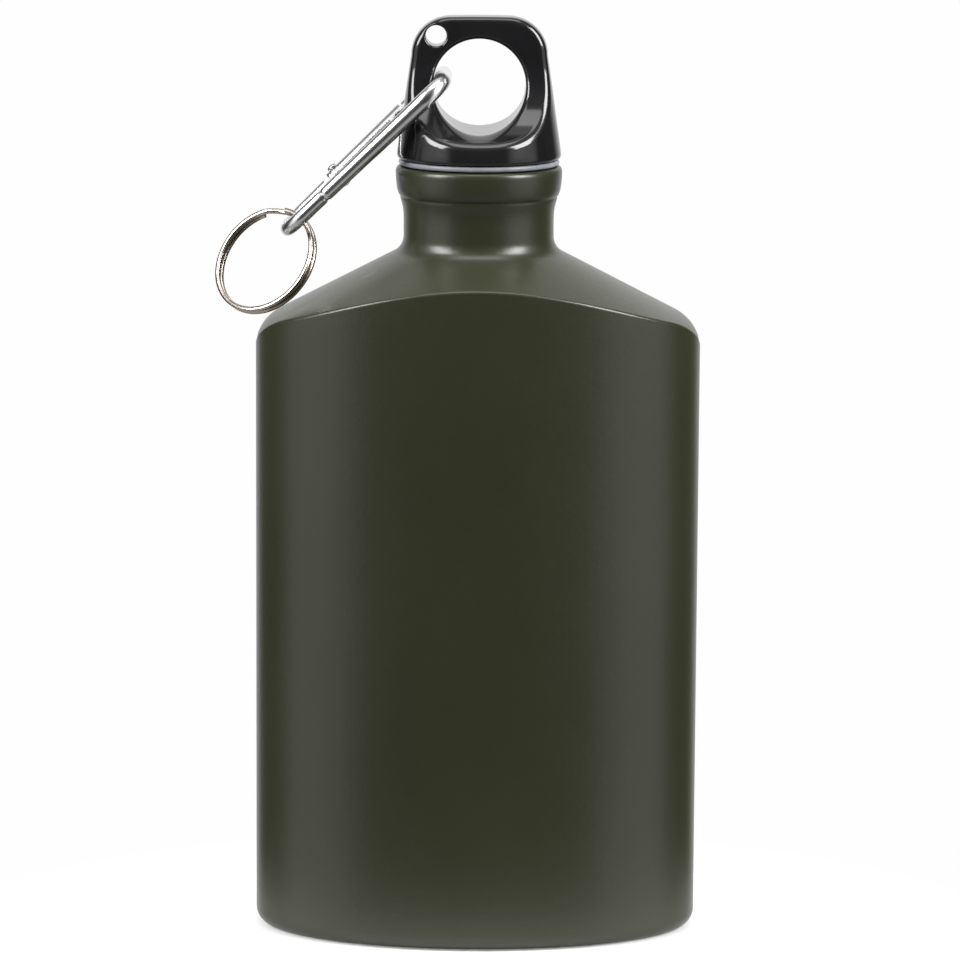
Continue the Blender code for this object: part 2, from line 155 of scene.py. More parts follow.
def sweep(name, centres, side, up, section, mats, cap=True, sharp=35, scale=None):
    """Skins a section (u, v) carried along centres with per-point side and up vectors."""
    centres, side, up = (np.asarray(v, float) for v in (centres, side, up))
    section = np.asarray(section, float)
    k = len(section)
    scale = np.ones(len(centres)) if scale is None else np.asarray(scale, float)
    pts = (
        centres[:, None, :]
        + side[:, None, :] * (section[None, :, 0:1] * scale[:, None, None])
        + up[:, None, :] * (section[None, :, 1:2] * scale[:, None, None])
    )
    verts = pts.reshape(-1, 3)
    faces = grid_faces(len(centres), k)
    if cap:
        faces.append(tuple(range(k))[::-1])
        faces.append(tuple((len(centres) - 1) * k + i for i in range(k)))
    obj = mesh_from(name, verts, faces, mats, sharp=sharp)
    return outward(obj)


def circle_section(count):
    return [(math.cos(TAU * i / count), math.sin(TAU * i / count)) for i in range(count)]


def place(obj, matrix):
    obj.data.transform(matrix)
    return obj


# ------------------------------------------------------------------ material helpers
def new_material(name):
    mat = bpy.data.materials.new(name)
    mat.use_nodes = True
    tree = mat.node_tree
    shader = tree.nodes["Principled BSDF"]
    return mat, tree, shader


def node(tree, kind, **values):
    n = tree.nodes.new(kind)
    for k, v in values.items():
        if k in n.inputs:
            n.inputs[k].default_value = v
        else:
            setattr(n, k, v)
    return n


def ramp(tree, source, stops):
    n = tree.nodes.new("ShaderNodeValToRGB")
    elements = n.color_ramp.elements
    while len(elements) < len(stops):
        elements.new(0.5)
    for e, (pos, col) in zip(elements, stops):
        e.position = pos
        e.color = (*col, 1.0) if len(col) == 3 else col
    tree.links.new(source, n.inputs[0])
    return n


def grey(v):
    return (v, v, v)


def maths(tree, op, a, b=None, c=None, clamp=False):
    n = tree.nodes.new("ShaderNodeMath")
    n.operation = op
    n.use_clamp = clamp
    for i, v in enumerate((a, b, c)):
        if v is None:
            continue
        if isinstance(v, (int, float)):
            n.inputs[i].default_value = v
        else:
            tree.links.new(v, n.inputs[i])
    return n.outputs[0]


def mix_colour(tree, fac, a, b):
    n = tree.nodes.new("ShaderNodeMix")
    n.data_type = "RGBA"
    if isinstance(fac, (int, float)):
        n.inputs[0].default_value = fac
    else:
        tree.links.new(fac, n.inputs[0])
    for index, v in ((6, a), (7, b)):
        if isinstance(v, tuple):
            n.inputs[index].default_value = (*v, 1.0)
        else:
            tree.links.new(v, n.inputs[index])
    return n.outputs[2]


def object_coords(tree, scale=(1.0, 1.0, 1.0)):
    tc = tree.nodes.new("ShaderNodeTexCoord")
    mp = tree.nodes.new("ShaderNodeMapping")
    mp.inputs["Scale"].default_value = scale
    tree.links.new(tc.outputs["Object"], mp.inputs["Vector"])
    return mp.outputs[0]


def turned_coords(tree, angle, scale):
    """Object coordinates turned about Y, so that a tilted wire's length runs along their X."""
    first = tree.nodes.new("ShaderNodeMapping")
    first.inputs["Rotation"].default_value = (0.0, angle, 0.0)
    second = tree.nodes.new("ShaderNodeMapping")
    second.inputs["Scale"].default_value = scale
    tree.links.new(tree.nodes.new("ShaderNodeTexCoord").outputs["Object"], first.inputs["Vector"])
    tree.links.new(first.outputs[0], second.inputs["Vector"])
    return second.outputs[0]


def noise(tree, vector, scale, detail=4.0, rough=0.55):
    n = node(tree, "ShaderNodeTexNoise", Scale=scale, Detail=detail, Roughness=rough)
    tree.links.new(vector, n.inputs["Vector"])
    return n.outputs["Fac"]


def bump(tree, height, strength, distance, normal=None):
    n = tree.nodes.new("ShaderNodeBump")
    n.inputs["Strength"].default_value = strength
    n.inputs["Distance"].default_value = distance
    tree.links.new(height, n.inputs["Height"])
    if normal is not None:
        tree.links.new(normal, n.inputs["Normal"])
    return n.outputs[0]


# ------------------------------------------------------------------ materials
def powder_coat():
    """Matt olive powder coat: fine orange peel, tiny pale pinpoints, slightly burnished edges."""
    mat, t, s = new_material("olive_powder_coat")
    co = object_coords(t)
    fine = noise(t, co, 2600.0, 3.0, 0.6)
    peel = noise(t, co, 780.0, 2.0, 0.5)
    broad = noise(t, co, 26.0, 4.0, 0.6)
    base = ramp(t, broad, [(0.3, (0.0205, 0.0228, 0.0108)), (0.7, (0.0238, 0.0263, 0.0130))])
    speck = ramp(t, fine, [(0.60, grey(0.0)), (0.80, grey(1.0))])
    speckled = mix_colour(t, maths(t, "MULTIPLY", speck.outputs[0], 0.28), base.outputs[0], (0.062, 0.066, 0.040))
    geo = t.nodes.new("ShaderNodeNewGeometry")
    worn = ramp(t, geo.outputs["Pointiness"], [(0.545, grey(0.0)), (0.60, grey(1.0))])
    wear = maths(t, "MULTIPLY", worn.outputs[0], maths(t, "MULTIPLY_ADD", peel, 0.8, 0.1))
    colour = mix_colour(t, maths(t, "MULTIPLY", wear, 0.35), speckled, (0.095, 0.10, 0.066))
    t.links.new(colour, s.inputs["Base Color"])
    rough = maths(t, "ADD", maths(t, "MULTIPLY_ADD", broad, 0.06, 0.25), maths(t, "MULTIPLY", peel, 0.06))
    t.links.new(maths(t, "SUBTRACT", rough, maths(t, "MULTIPLY", wear, 0.08)), s.inputs["Roughness"])
    s.inputs["IOR"].default_value = 1.5
    s.inputs["Specular IOR Level"].default_value = 0.5
    b = bump(t, peel, 0.22, 0.00012)
    t.links.new(bump(t, fine, 0.16, 0.00004, b), s.inputs["Normal"])
    return mat


def gloss_plastic():
    """Injection-moulded black plastic, polished, with faint handling hairlines and dust."""
    mat, t, s = new_material("black_gloss_plastic")
    co = object_coords(t)
    broad = noise(t, co, 60.0, 5.0, 0.6)
    hair_a = noise(t, object_coords(t, (1.0, 9.0, 14.0)), 420.0, 2.0, 0.7)
    hair_b = noise(t, object_coords(t, (12.0, 1.0, 3.0)), 380.0, 2.0, 0.7)
    hairs = maths(t, "MAXIMUM", ramp(t, hair_a, [(0.66, grey(0.0)), (0.72, grey(1.0))]).outputs[0],
                  ramp(t, hair_b, [(0.67, grey(0.0)), (0.73, grey(1.0))]).outputs[0])
    dust = ramp(t, noise(t, co, 1500.0, 2.0, 0.5), [(0.70, grey(0.0)), (0.80, grey(1.0))])
    col = ramp(t, broad, [(0.3, (0.0075, 0.0070, 0.0076)), (0.7, (0.0105, 0.0100, 0.0108))])
    t.links.new(mix_colour(t, maths(t, "MULTIPLY", dust.outputs[0], 0.06), col.outputs[0], (0.10, 0.10, 0.105)), s.inputs["Base Color"])
    r = maths(t, "ADD", maths(t, "MULTIPLY_ADD", broad, 0.07, 0.10), maths(t, "MULTIPLY", hairs, 0.05))
    t.links.new(maths(t, "ADD", r, maths(t, "MULTIPLY", dust.outputs[0], 0.15)), s.inputs["Roughness"])
    s.inputs["IOR"].default_value = 1.5
    t.links.new(bump(t, noise(t, co, 110.0, 2.0, 0.5), 0.05, 0.0003), s.inputs["Normal"])
    return mat


def satin_plastic():
    """Black stem plastic with a fine spark-eroded texture."""
    mat, t, s = new_material("black_satin_plastic")
    co = object_coords(t)
    grain = noise(t, co, 1900.0, 3.0, 0.6)
    col = ramp(t, noise(t, co, 90.0, 4.0), [(0.3, (0.0100, 0.0098, 0.0104)), (0.7, (0.0150, 0.0148, 0.0155))])
    t.links.new(col.outputs[0], s.inputs["Base Color"])
    t.links.new(maths(t, "MULTIPLY_ADD", grain, 0.22, 0.24), s.inputs["Roughness"])
    s.inputs["IOR"].default_value = 1.5
    t.links.new(bump(t, grain, 0.25, 0.00005), s.inputs["Normal"])
    return mat


def silicone():
    """Grey translucent silicone with a soft satin skin."""
    mat, t, s = new_material("grey_silicone")
    co = object_coords(t)
    cloud = noise(t, co, 300.0, 4.0, 0.6)
    col = ramp(t, cloud, [(0.3, (0.185, 0.192, 0.215)), (0.7, (0.255, 0.262, 0.285))])
    t.links.new(col.outputs[0], s.inputs["Base Color"])
    t.links.new(maths(t, "MULTIPLY_ADD", noise(t, co, 1500.0, 3.0), 0.18, 0.28), s.inputs["Roughness"])
    s.inputs["IOR"].default_value = 1.41
    s.inputs["Subsurface Weight"].default_value = 0.25
    s.inputs["Subsurface Radius"].default_value = (0.0012, 0.0012, 0.0014)
    s.inputs["Subsurface Scale"].default_value = 1.0
    t.links.new(bump(t, noise(t, co, 900.0, 3.0), 0.12, 0.00006), s.inputs["Normal"])
    return mat


def bare_alloy(name, grain_scale, base=0.80, low=0.19):
    """Tumble-polished aluminium: lengthwise drawing lines, small nicks and soft grey clouding."""
    mat, t, s = new_material(name)
    co = object_coords(t)
    lines = noise(t, turned_coords(t, math.radians(44.3), grain_scale), 900.0, 1.0, 0.5)
    cloud = noise(t, co, 90.0, 2.0, 0.5)
    nicks = ramp(t, noise(t, co, 700.0, 2.0, 0.6), [(0.70, grey(0.0)), (0.76, grey(1.0))])
    col = ramp(t, cloud, [(0.25, (base * 0.96, base * 0.96, base * 0.975)), (0.75, (base * 1.03, base * 1.03, base * 1.035))])
    t.links.new(mix_colour(t, maths(t, "MULTIPLY", nicks.outputs[0], 0.10), col.outputs[0], (base * 0.6, base * 0.6, base * 0.63)), s.inputs["Base Color"])
    s.inputs["Metallic"].default_value = 1.0
    r = maths(t, "ADD", maths(t, "MULTIPLY_ADD", cloud, 0.05, low), maths(t, "MULTIPLY", lines, 0.05))
    t.links.new(maths(t, "ADD", r, maths(t, "MULTIPLY", nicks.outputs[0], 0.05)), s.inputs["Roughness"])
    t.links.new(bump(t, lines, 0.02, 0.000003), s.inputs["Normal"])
    return mat


def steel_wire(name, colour, low):
    """Drawn and plated steel: faint draw marks and warm clouding."""
    mat, t, s = new_material(name)
    co = object_coords(t)
    cloud = noise(t, co, 90.0, 2.0, 0.5)
    lines = noise(t, co, 260.0, 1.0, 0.5)
    dark = tuple(c * 0.88 for c in colour)
    col = ramp(t, cloud, [(0.3, dark), (0.7, colour)])
    t.links.new(col.outputs[0], s.inputs["Base Color"])
    s.inputs["Metallic"].default_value = 1.0
    t.links.new(maths(t, "ADD", maths(t, "MULTIPLY_ADD", cloud, 0.06, low), maths(t, "MULTIPLY", lines, 0.04)), s.inputs["Roughness"])
    t.links.new(bump(t, lines, 0.02, 0.000003), s.inputs["Normal"])
    return mat


OLIVE = powder_coat()
GLOSS = gloss_plastic()
SATIN = satin_plastic()
SILICONE = silicone()
ALLOY = bare_alloy("bare_aluminium_wire", (0.03, 1.0, 1.0))
ALLOY_GATE = bare_alloy("bare_aluminium_gate", (0.05, 1.2, 1.2))
STEEL = steel_wire("rivet_steel", (0.62, 0.60, 0.58), 0.2)
SPRING_STEEL = steel_wire("spring_steel", (0.50, 0.48, 0.46), 0.24)
NICKEL = steel_wire("nickelled_ring_wire", (0.50, 0.445, 0.395), 0.16)

# ------------------------------------------------------------------ dimensions, mm
A, B = 49.0, 28.7
WALL = 1.0
SHOULDER_Z, SHOULDER_R, SHOULDER_DEG = 130.35, 8.5, 27.6
CREASE = 0.85
BASE_FILLET, BASE_RIM, BASE_RECESS, BASE_FLOOR = 3.5, 7.0, 0.8, 2.0
NECK_R, NECK_FILLET = 16.5, 4.2
MOUTH_Z, BORE_R, PITCH, THREAD = 170.5, 12.9, 4.0, 1.25
SLOPE = math.radians(SHOULDER_DEG)


# ------------------------------------------------------------------ bottle
def roof(r, inset=0.0):
    """Height of the shoulder: a cone that rolls over to vertical at its outer edge."""
    radius = SHOULDER_R - inset
    a = A - inset
    centre = a - radius
    tangent = centre + radius * math.sin(SLOPE)
    curved = SHOULDER_Z + np.sqrt(np.maximum(radius**2 - (r - centre) ** 2, 0.0))
    straight = SHOULDER_Z + radius * math.cos(SLOPE) + (tangent - r) * math.tan(SLOPE)
    return np.where(r > tangent, curved, straight)


def shoulder_rows(theta, a, b, inset, fillet, wall_rows, neck_start):
    """Rows from the wall's top over the crease and up the cone to radius neck_start."""
    ex, ey = a * np.cos(theta), b * np.sin(theta)
    nx, ny = np.cos(theta) / a, np.sin(theta) / b
    nl = np.hypot(nx, ny)
    nx, ny = nx / nl, ny / nl

    def height(d):
        return roof(np.hypot(ex - nx * d, ey - ny * d), inset)

    d = np.full_like(theta, 0.3 * fillet)
    for _ in range(40):
        step = 1e-4
        m = (height(d + step) - height(np.maximum(d - step, 0))) / (d + step - np.maximum(d - step, 0))
        m = np.maximum(m, 0)
        d = 0.5 * d + 0.5 * fillet * (1 - m / np.sqrt(1 + m * m))
    tilt = np.arctan(m)
    zt = height(d)
    zc = zt - fillet * np.cos(tilt)
    rows = []
    for f in wall_rows(zc):
        rows.append(np.stack([ex, ey, f], 1))
    steps = 9
    for k in range(1, steps + 1):
        turn = (math.pi / 2 - tilt) * k / steps
        dd = fillet * (1 - np.cos(turn))
        rows.append(np.stack([ex - nx * dd, ey - ny * dd, zc + fillet * np.sin(turn)], 1))
    px, py = ex - nx * d, ey - ny * d
    r0, p0 = np.hypot(px, py), np.unwrap(np.arctan2(py, px))
    p1 = np.unwrap(np.arctan2(ey, ex))
    p1 = p1 + np.round((p0 - p1) / TAU) * TAU
    count = 34
    for k in range(1, count + 1):
        f = k / count
        g = f**1.5 * 0.6 + f * 0.4
        r = r0 + (neck_start - r0) * g
        p = p0 + (p1 - p0) * min(1.0, g * 2.0)
        rows.append(np.stack([r * np.cos(p), r * np.sin(p), roof(r, inset)], 1))
    return rows


def polar_row(theta, a, b, r, z):
    p = np.arctan2(b * np.sin(theta), a * np.cos(theta))
    r = np.broadcast_to(r, theta.shape)
    return np.stack([r * np.cos(p), r * np.sin(p), np.broadcast_to(z, theta.shape)], 1)


def groove_depth(phase, half, depth, flank):
    """Trapezoid thread groove across its axial phase."""
    x = np.abs(phase)
    ramp_in = np.clip((half + flank - x) / flank, 0, 1)
    ramp_in = ramp_in * ramp_in * (3 - 2 * ramp_in)
    return depth * ramp_in


def build_bottle():
    n = 400
    theta = TAU * np.arange(n) / n
    rows = []
    # underside: pressed panel, standing rim, base fillet
    rows.append(np.stack([(A - 20) * np.cos(theta) * 0.02, (B - 12) * np.sin(theta) * 0.02, np.full(n, BASE_RECESS)], 1))
    for f in (0.3, 0.6, 0.85):
        rows.append(np.stack([(A - BASE_RIM - 2.4) * f * np.cos(theta), (B - BASE_RIM - 2.4) * f * np.sin(theta), np.full(n, BASE_RECESS)], 1))
    under = rounded(
        [(BASE_RIM + 2.4, BASE_RECESS), (BASE_RIM + 1.4, BASE_RECESS), (BASE_RIM, 0.0), (BASE_FILLET, 0.0)],
        [0.6, 0.6], 15.0)
    under += [((BASE_FILLET * (1 - math.sin(math.radians(u)))), BASE_FILLET * (1 - math.cos(math.radians(u)))) for u in np.linspace(6, 90, 13)]
    for inset, z in under:
        rows.append(np.stack([(A - inset) * np.cos(theta), (B - inset) * np.sin(theta), np.full(n, z)], 1))

    def wall(zc):
        return [BASE_FILLET + (zc - BASE_FILLET) * f for f in np.linspace(0.04, 1.0, 26)]

    centre_r = NECK_R + NECK_FILLET
    cone_at = float(roof(np.array(centre_r)))
    centre_z = cone_at + NECK_FILLET / math.cos(SLOPE)
    start_r = centre_r - NECK_FILLET * math.sin(SLOPE)
    rows += shoulder_rows(theta, A, B, 0.0, CREASE, wall, start_r)
    # neck fillet, neck and the rolled collar
    prof = []
    for k in range(1, 13):
        turn = math.radians(-90) - SLOPE - (math.pi / 2 - SLOPE) * k / 12
        prof.append((centre_r + NECK_FILLET * math.cos(turn), centre_z + NECK_FILLET * math.sin(turn)))
    z0 = prof[-1][1]
    prof += [(NECK_R - 0.01, z) for z in np.linspace(z0 + 0.7, 158.6, 8)]
    prof += [(16.52, 159.6), (16.58, 160.5), (16.70, 161.3), (16.86, 162.0), (17.02, 162.6), (17.16, 163.1),
             (17.24, 163.45), (17.22, 163.62), (17.24, 163.80), (17.38, 164.0), (17.58, 164.3), (17.76, 164.75),
             (17.92, 165.3), (18.03, 165.9), (18.12, 166.6), (18.19, 167.3), (18.24, 168.0), (18.27, 168.7),
             (18.28, 169.2), (18.24, 169.6), (18.12, 169.95), (17.92, 170.22), (17.65, 170.40), (17.3, 170.49), (16.6, 170.5), (15.4, 170.5)]
    for r, z in prof:
        rows.append(polar_row(theta, A, B, r, z))
    # mouth and threaded bore
    for r, z in ((14.3, 170.5), (14.05, 170.45), (13.85, 170.3), (13.72, 170.05)):
        rows.append(polar_row(theta, A, B, r, z))
    phi = np.arctan2(B * np.sin(theta), A * np.cos(theta))
    lip = float(roof(np.array(BORE_R + 1.6), WALL)) - 0.2
    zs = np.arange(169.85, lip + 2.2, -0.14)
    for z in zs:
        turn = (z - 158.4) / PITCH - phi / TAU
        phase = (turn - np.round(turn)) * PITCH
        run = np.clip((z - 158.0) / 1.2, 0, 1)
        chamfer = max(0.0, z - 169.6) * 0.8
        rows.append(polar_row(theta, A, B, BORE_R + chamfer + groove_depth(phase, 0.75, THREAD, 0.62) * run, z))
    # inside of the shoulder and wall, down to the floor
    rows.append(polar_row(theta, A, B, BORE_R + 0.5, lip + 1.0))
    inner = shoulder_rows(theta, A - WALL, B - WALL, WALL, 0.5, lambda zc: [zc], BORE_R + 1.2)
    drop = np.array([0, 0, 0.05])
    rows += [r - drop for r in reversed(inner)]
    for z in np.linspace(120, BASE_FLOOR + 6, 8):
        rows.append(np.stack([(A - WALL) * np.cos(theta), (B - WALL) * np.sin(theta), np.full(n, z)], 1))
    for u in np.linspace(0, 90, 7):
        k = 3.4 * (1 - math.cos(math.radians(u)))
        rows.append(np.stack([(A - WALL - k) * np.cos(theta), (B - WALL - k) * np.sin(theta), np.full(n, BASE_FLOOR + 3.4 * (1 - math.sin(math.radians(u))))], 1))
    rows.append(np.stack([(A - 20) * np.cos(theta) * 0.02, (B - 12) * np.sin(theta) * 0.02, np.full(n, BASE_FLOOR)], 1))
    verts = np.concatenate(rows)
    faces = grid_faces(len(rows), n)
    faces.append(tuple(range(n))[::-1])
    faces.append(tuple((len(rows) - 1) * n + i for i in range(n)))
    obj = mesh_from("bottle", verts, faces, OLIVE, sharp=55)
    return outward(obj)


# ------------------------------------------------------------------ loop cap, from a distance field
def segment_distance(r, z, pts):
    """Signed distance to a closed polygon, negative inside."""
    best = np.full(r.shape, 1e9)
    inside = np.zeros(r.shape, bool)
    for (x0, y0), (x1, y1) in zip(pts, pts[1:] + pts[:1]):
        dx, dy = x1 - x0, y1 - y0
        length = dx * dx + dy * dy
        if length < 1e-12:
            continue
        t = np.clip(((r - x0) * dx + (z - y0) * dy) / length, 0, 1)
        best = np.minimum(best, np.hypot(r - x0 - t * dx, z - y0 - t * dy))
        cond = (y0 > z) != (y1 > z)
        if y0 != y1:
            cross = x0 + (z - y0) * dx / dy
            inside ^= cond & (r < cross)
    return np.where(inside, -best, best)


def smax(a, b, k):
    """Intersection of two solids whose shared edge is rounded to radius k."""
    u, v = np.maximum(k + a, 0.0), np.maximum(k + b, 0.0)
    return np.minimum(-k, np.maximum(a, b)) + np.hypot(u, v)


CAP_SIDE = [(14.95, 194.8), (15.30, 192.3), (16.10, 187.0), (16.82, 181.7), (17.40, 177.8), (17.93, 174.0), (18.03, 173.2), (18.0, 172.75), (17.86, 172.40), (17.6, 172.18), (17.3, 172.1)]
CAP_OUTLINE = (
    [(-30.0, 203.25), (0.0, 203.25), (4.0, 203.25)]
    + [(x, z) for x, z in arc(6.55, 194.8, 8.4, 86, 0, 26)]
    + CAP_SIDE[1:]
    + [(12.0, 172.1), (-30.0, 172.1)]
)


def cap_field(x, y, z):
    r = np.hypot(x, y)
    solid = segment_distance(r, z, CAP_OUTLINE)
    ay = np.abs(y)
    scoop_r, scoop_z, half = 18.0, 194.0, 4.0
    d = np.hypot(ay - (half + scoop_r), z - scoop_z)
    keep = np.where(z >= scoop_z, ay - half, scoop_r - d)
    solid = smax(solid, keep, 1.35)
    hole = 10.15 - np.hypot(x, z - 188.3)
    solid = smax(solid, hole, 1.15)
    small = 2.3 - np.hypot(x + 9.5, z - 199.1)
    solid = smax(solid, small, 0.55)
    socket = np.maximum(r - 9.0, z - 176.0)
    return smax(solid, -socket, 0.25)


def gradient(f, p, h=0.02):
    g = np.empty_like(p)
    for k in range(3):
        a, b = p.copy(), p.copy()
        a[:, k] += h
        b[:, k] -= h
        g[:, k] = (f(*a.T) - f(*b.T)) / (2 * h)
    return g


def surface_net(f, low, high, step):
    """Dual mesh of the zero level of f, then pulled on to it."""
    axes = [np.arange(low[k], high[k] + step, step) for k in range(3)]
    gx, gy, gz = np.meshgrid(*axes, indexing="ij")
    value = f(gx, gy, gz)
    shape = value.shape
    cells = tuple(s - 1 for s in shape)
    total = np.zeros(cells + (3,))
    count = np.zeros(cells)
    corners = [(i, j, k) for i in (0, 1) for j in (0, 1) for k in (0, 1)]
    for a in corners:
        for axis in range(3):
            if a[axis]:
                continue
            b = list(a)
            b[axis] = 1
            va = value[a[0]:a[0] + cells[0], a[1]:a[1] + cells[1], a[2]:a[2] + cells[2]]
            vb = value[b[0]:b[0] + cells[0], b[1]:b[1] + cells[1], b[2]:b[2] + cells[2]]
            cross = (va < 0) != (vb < 0)
            t = np.where(cross, va / np.where(cross, va - vb, 1.0), 0.0)
            for q in range(3):
                offset = a[q] + (t if q == axis else 0.0)
                total[..., q] += np.where(cross, offset, 0.0)
            count += cross
    active = count > 0
    index = np.full(cells, -1, int)
    index[active] = np.arange(active.sum())
    origin = np.stack(np.nonzero(active), 1)
    pts = np.asarray(low) + step * (origin + total[active] / count[active][:, None])
    faces = []
    for axis in range(3):
        o1, o2 = [q for q in range(3) if q != axis]
        sl0 = [slice(1, -1)] * 3
        sl1 = [slice(1, -1)] * 3
        sl0[axis], sl1[axis] = slice(0, -1), slice(1, None)
        va, vb = value[tuple(sl0)], value[tuple(sl1)]
        cross = (va < 0) != (vb < 0)
        where = np.stack(np.nonzero(cross), 1)
        base = where.copy()
        base[:, o1] += 1
        base[:, o2] += 1
        quad = []
        for s1, s2 in ((1, 1), (0, 1), (0, 0), (1, 0)):
            c = base.copy()
            c[:, o1] -= s1
            c[:, o2] -= s2
            quad.append(index[c[:, 0], c[:, 1], c[:, 2]])
        quad = np.stack(quad, 1)
        flip = va[cross] > 0
        if axis == 1:
            flip = ~flip
        quad[flip] = quad[flip][:, ::-1]
        faces.append(quad)
    faces = np.concatenate(faces)
    for _ in range(3):
        g = gradient(f, pts)
        d = f(*pts.T)
        pts = pts - g * (d / np.maximum((g * g).sum(1), 1e-6))[:, None]
    normals = gradient(f, pts)
    normals /= np.maximum(np.linalg.norm(normals, axis=1), 1e-9)[:, None]
    return pts, faces, normals


def build_cap():
    step = 0.30
    pts, faces, normals = surface_net(cap_field, (-18.6, -18.6, 171.55), (18.6, 18.6, 203.8), step)
    return mesh_from("loop_cap", pts, faces, GLOSS, normals=normals)


def build_gasket():
    low, high, bore, r = 170.75, 171.85, 13.4, 17.65
    mid, half = (low + high) / 2, (high - low) / 2
    prof = [(bore, high - 0.15), (bore + 0.15, high), (r - half - 0.3, high)]
    prof += [(r - half * 0.75 + half * 0.75 * math.cos(u), mid + half * math.sin(u)) for u in np.linspace(math.pi / 2, -math.pi / 2, 13)]
    prof += [(r - half - 0.3, low), (bore + 0.15, low), (bore, low + 0.15)]
    return lathe("sealing_ring", prof, SILICONE, 224, closed=True, sharp=40)


def build_plug():
    """Stem of the stopper: one grid round the outside with the thread raised on it, hollow inside."""
    n = 240
    phi = TAU * np.arange(n) / n
    socket_top, boss, cap_low, r0, low, bore = 176.0, 8.7, 172.1, 12.45, 160.7, 9.8
    rows = []

    def ring(r, z):
        rr = np.broadcast_to(r, phi.shape)
        rows.append(np.stack([rr * np.cos(phi), rr * np.sin(phi), np.full(n, z)], 1))

    head = rounded([(0.6, socket_top - 0.3), (boss, socket_top - 0.3), (boss, cap_low - 0.25), (r0, cap_low - 0.25), (r0, 171.0)], [0.4, 0.0, 0.3], 22)
    for r, z in head:
        ring(r, z)
    for z in np.arange(170.9, low + 0.75, -0.12):
        turn = (z - 162.4) / PITCH - phi / TAU
        phase = (turn - np.round(turn)) * PITCH
        whole = np.round(turn) + phi / TAU
        travelled = (z - phase - 162.4) / PITCH
        run = np.clip((travelled + 0.04) / 0.10, 0, 1) * np.clip((1.54 - travelled) / 0.10, 0, 1)
        ring(r0 + groove_depth(phase, 0.35, 1.3, 0.62) * run, z)
    for r, z in rounded([(r0, low + 0.8), (r0 - 0.8, low), (bore, low), (bore, cap_low - 3.0), (0.6, cap_low - 1.4)], [0.4, 0.25, 1.2], 18)[0:]:
        ring(r, z)
    verts = np.concatenate(rows)
    faces = grid_faces(len(rows), n)
    faces.append(tuple(range(n)))
    faces.append(tuple((len(rows) - 1) * n + i for i in range(n)))
    return outward(mesh_from("stopper_stem", verts, faces, SATIN, sharp=40))


# ------------------------------------------------------------------ carabiner
CARABINER_AT = (-8.0, 0.0, 189.6)
CARABINER_DEG, LENGTH = 44.3, 47.4
WIRE_TOP, WIRE_LOW, SPINE_T = 1.85, 1.6, -12.7
GATE_TIP, GATE_PIVOT, GATE_R, GATE_TAIL = Vector((12.0, 12.2)), Vector((32.0, 8.2)), 2.1, 2.2
RIVET_R, LATCH_R, LATCH_BACK, SLOT_HALF, TONGUE_HALF = 0.65, 0.5, 1.6, 1.0, 0.7

tilt = math.radians(CARABINER_DEG)
along_s = Vector((-math.cos(tilt), 0.0, -math.sin(tilt)))
across_t = Vector((0.0, 1.0, 0.0))
through_n = along_s.cross(across_t)
CARABINER = Matrix((along_s, across_t, through_n)).transposed().to_4x4()
CARABINER.translation = Vector(CARABINER_AT) * MM
gate_dir = (GATE_TIP - GATE_PIVOT).normalized()
gate_len = (GATE_TIP - GATE_PIVOT).length
GATE = CARABINER @ Matrix.Translation((GATE_PIVOT.x * MM, GATE_PIVOT.y * MM, 0.0)) @ Matrix.Rotation(math.atan2(gate_dir.y, gate_dir.x), 4, "Z")


def gate_axis(distance):
    p = GATE_PIVOT + gate_dir * distance
    return (p.x, p.y)


def box_tool(low, high, matrix):
    bm = bmesh.new()
    bmesh.ops.create_cube(bm, size=1.0)
    for v in bm.verts:
        for k in range(3):
            v.co[k] = (low[k] if v.co[k] < 0 else high[k]) * MM
    mesh = bpy.data.meshes.new("tool")
    bm.to_mesh(mesh)
    bm.free()
    tool = bpy.data.objects.new("tool", mesh)
    scene.collection.objects.link(tool)
    tool.matrix_world = matrix
    return tool


def rod_tool(radius, length, matrix, segments=48):
    bm = bmesh.new()
    bmesh.ops.create_cone(bm, cap_ends=True, segments=segments, radius1=radius * MM, radius2=radius * MM, depth=length * MM)
    mesh = bpy.data.meshes.new("tool")
    bm.to_mesh(mesh)
    bm.free()
    tool = bpy.data.objects.new("tool", mesh)
    scene.collection.objects.link(tool)
    tool.matrix_world = matrix
    return tool


def cut(obj, tools, bevel=0.0):
    """Subtracts the tools, softens the new edges and applies it all."""
    for tool in tools:
        mod = obj.modifiers.new("cut", "BOOLEAN")
        mod.operation = "DIFFERENCE"
        mod.solver = "EXACT"
        mod.object = tool
    if bevel:
        mod = obj.modifiers.new("soft", "BEVEL")
        mod.width = bevel * MM
        mod.segments = 2
        mod.limit_method = "ANGLE"
        mod.angle_limit = math.radians(40)
        mod.use_clamp_overlap = True
    bpy.context.view_layer.update()
    graph = bpy.context.evaluated_depsgraph_get()
    mesh = bpy.data.meshes.new_from_object(obj.evaluated_get(graph))
    obj.modifiers.clear()
    old = obj.data
    obj.data = mesh
    bpy.data.meshes.remove(old)
    for tool in tools:
        bpy.data.objects.remove(tool, do_unlink=True)
    obj.data.shade_smooth()
    obj.data.set_sharp_from_angle(angle=math.radians(38))
    return obj


